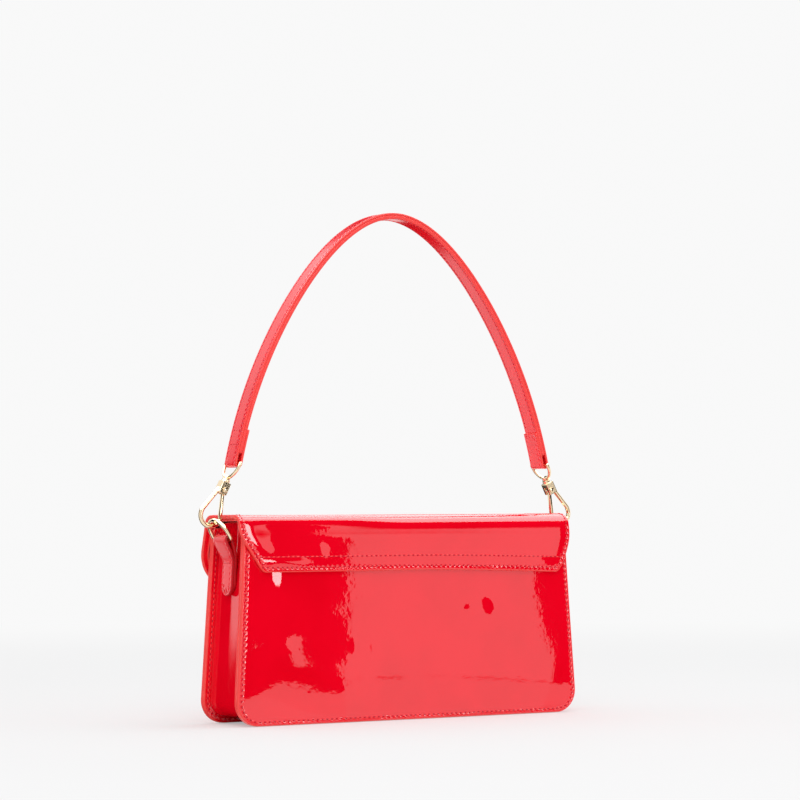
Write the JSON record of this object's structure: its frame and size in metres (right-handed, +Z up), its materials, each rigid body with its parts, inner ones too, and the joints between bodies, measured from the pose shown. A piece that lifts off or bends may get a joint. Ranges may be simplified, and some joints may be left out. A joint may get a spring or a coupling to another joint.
{
  "type": "shoulder_bag",
  "caption": "Flap shoulder bag in glossy red patent leather with a short strap that clips to side rings with pale gold swivel snap hooks",
  "frame": {"origin": "centre of the bag's footprint, on the surface it stands on", "axes": "+Z up, -Y to the front where the flap hangs, +X to the left side of the picture"},
  "size_m": [0.3262, 0.0612, 0.3734],
  "materials": {
    "patent": "glossy patent",
    "lining": "woven twill",
    "board": "fibre board",
    "gold": "polished pale gold plating",
    "steel": "plain"
  },
  "bodies": {
    "bag": {"back_panel": "patent", "front_panel": "patent", "back_board": "board", "front_board": "board", "back_lining": "lining", "front_lining": "lining", "gusset": "patent", "gusset_lining": "lining", "base_board": "board", "slip_pocket": "lining", "flap_anchor": "patent", "closure_plate": "steel", "ring_tab_left": "patent", "ring_tab_right": "patent"},
    "flap_top": {"flap_top_panel": "patent", "flap_top_lining": "lining"},
    "flap_front": {"flap_front_panel": "patent", "flap_front_lining": "lining", "flap_board": "board", "closure_magnet": "steel"},
    "ring_left": {"d_ring_left": "gold"},
    "ring_right": {"d_ring_right": "gold"},
    "strap": {"strap_outer": "patent", "strap_core": "board", "strap_lining": "patent", "swivel_eye_left": "gold", "swivel_eye_right": "gold"},
    "hook_left": {"hook_body_left": "gold", "gate_pin_left": "gold", "gate_spring_left": "steel"},
    "hook_right": {"hook_body_right": "gold", "gate_pin_right": "gold", "gate_spring_right": "steel"},
    "gate_left": {"gate_left": "gold"},
    "gate_right": {"gate_right": "gold"}
  },
  "joints": [
    {"name": "flap_top_fold", "type": "hinge", "parent": "bag", "child": "flap_top", "pos_m": [0, 0.03015, 0.14085], "axis": [-1, 0, 0], "range_deg": [0, 28]},
    {"name": "flap_front_fold", "type": "hinge", "parent": "flap_top", "child": "flap_front", "pos_m": [0, -0.03135, 0.14085], "axis": [-1, 0, 0], "range_deg": [0, 150]},
    {"name": "strap_swing", "type": "hinge", "parent": "bag", "child": "strap", "pos_m": [0, 0, 0.1415], "axis": [-1, 0, 0], "range_deg": [-50, 50]},
    {"name": "ring_swing_left", "type": "hinge", "parent": "bag", "child": "ring_left", "pos_m": [0.14309, 0, 0.1326], "axis": [0, 1, 0], "range_deg": [-3, 2]},
    {"name": "hook_swivel_left", "type": "hinge", "parent": "strap", "child": "hook_left", "pos_m": [0.14039, 0, 0.17545], "axis": [0.454, 0, -0.891], "range_deg": [-8, 8]},
    {"name": "gate_hinge_left", "type": "hinge", "parent": "hook_left", "child": "gate_left", "pos_m": [0.14319, 0, 0.16794], "axis": [0, -1, 0], "range_deg": [0, 20]},
    {"name": "ring_swing_right", "type": "hinge", "parent": "bag", "child": "ring_right", "pos_m": [-0.14309, 0, 0.1326], "axis": [0, -1, 0], "range_deg": [-3, 2]},
    {"name": "hook_swivel_right", "type": "hinge", "parent": "strap", "child": "hook_right", "pos_m": [-0.14039, 0, 0.17545], "axis": [0.454, 0, 0.891], "range_deg": [-8, 8]},
    {"name": "gate_hinge_right", "type": "hinge", "parent": "hook_right", "child": "gate_right", "pos_m": [-0.14319, 0, 0.16794], "axis": [0, 1, 0], "range_deg": [0, 20]}
  ]
}
